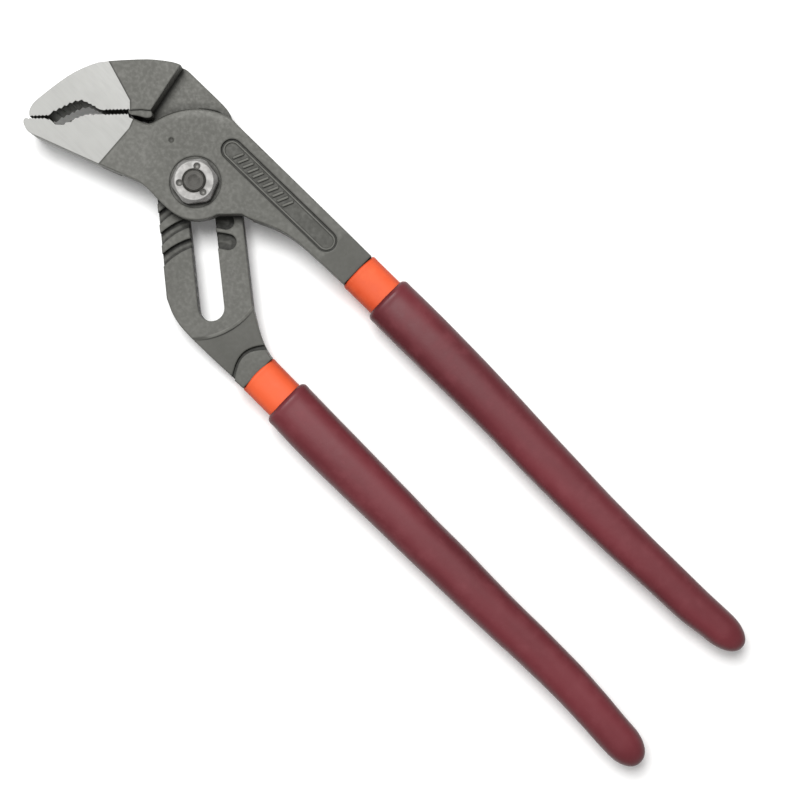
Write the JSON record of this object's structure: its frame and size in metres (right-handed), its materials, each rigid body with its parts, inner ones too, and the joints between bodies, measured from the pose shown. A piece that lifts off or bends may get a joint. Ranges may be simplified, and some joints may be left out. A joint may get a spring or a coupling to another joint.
{
  "type": "tongue and groove pliers",
  "caption": "Slip-adjust gripping pliers with offset toothed jaws, a slotted grooved arm, a staked pivot nut and plastic-dipped handles.",
  "frame": {"origin": "pivot bolt axis at the flat back of the bolt's head, the plane the tool rests on", "axes": "+X along the handles from jaws to handle ends, +Y towards the handle of the tongue half, +Z out of the nut, away from the rest plane"},
  "size_m": [0.2541, 0.0566, 0.0188],
  "materials": {
    "forged_steel": "dark phosphate forged skin, jaw faces ground bright",
    "undercoat": "dipped vinyl, satin gloss",
    "grip": "dipped vinyl, satin gloss",
    "bolt_steel": "dark oiled steel",
    "nut_steel": "dull plated steel"
  },
  "bodies": {
    "tongue_body": {"tongue_half": "forged_steel", "tongue_half_undercoat": "undercoat", "tongue_half_grip": "grip"},
    "pivot": {"pivot_bolt": "bolt_steel", "pivot_nut": "nut_steel"},
    "groove_body": {"groove_half": "forged_steel", "groove_half_undercoat": "undercoat", "groove_half_grip": "grip"}
  },
  "joints": [
    {"name": "plier_pivot", "type": "hinge", "parent": "tongue_body", "child": "pivot", "pos_m": [0, 0, 0], "axis": [0, 0, -1], "range_deg": [0, 70]},
    {"name": "slot_adjust", "type": "slide", "parent": "pivot", "child": "groove_body", "axis": [-0.7738, 0.6334, 0], "range_m": [0, 0.0354]}
  ]
}
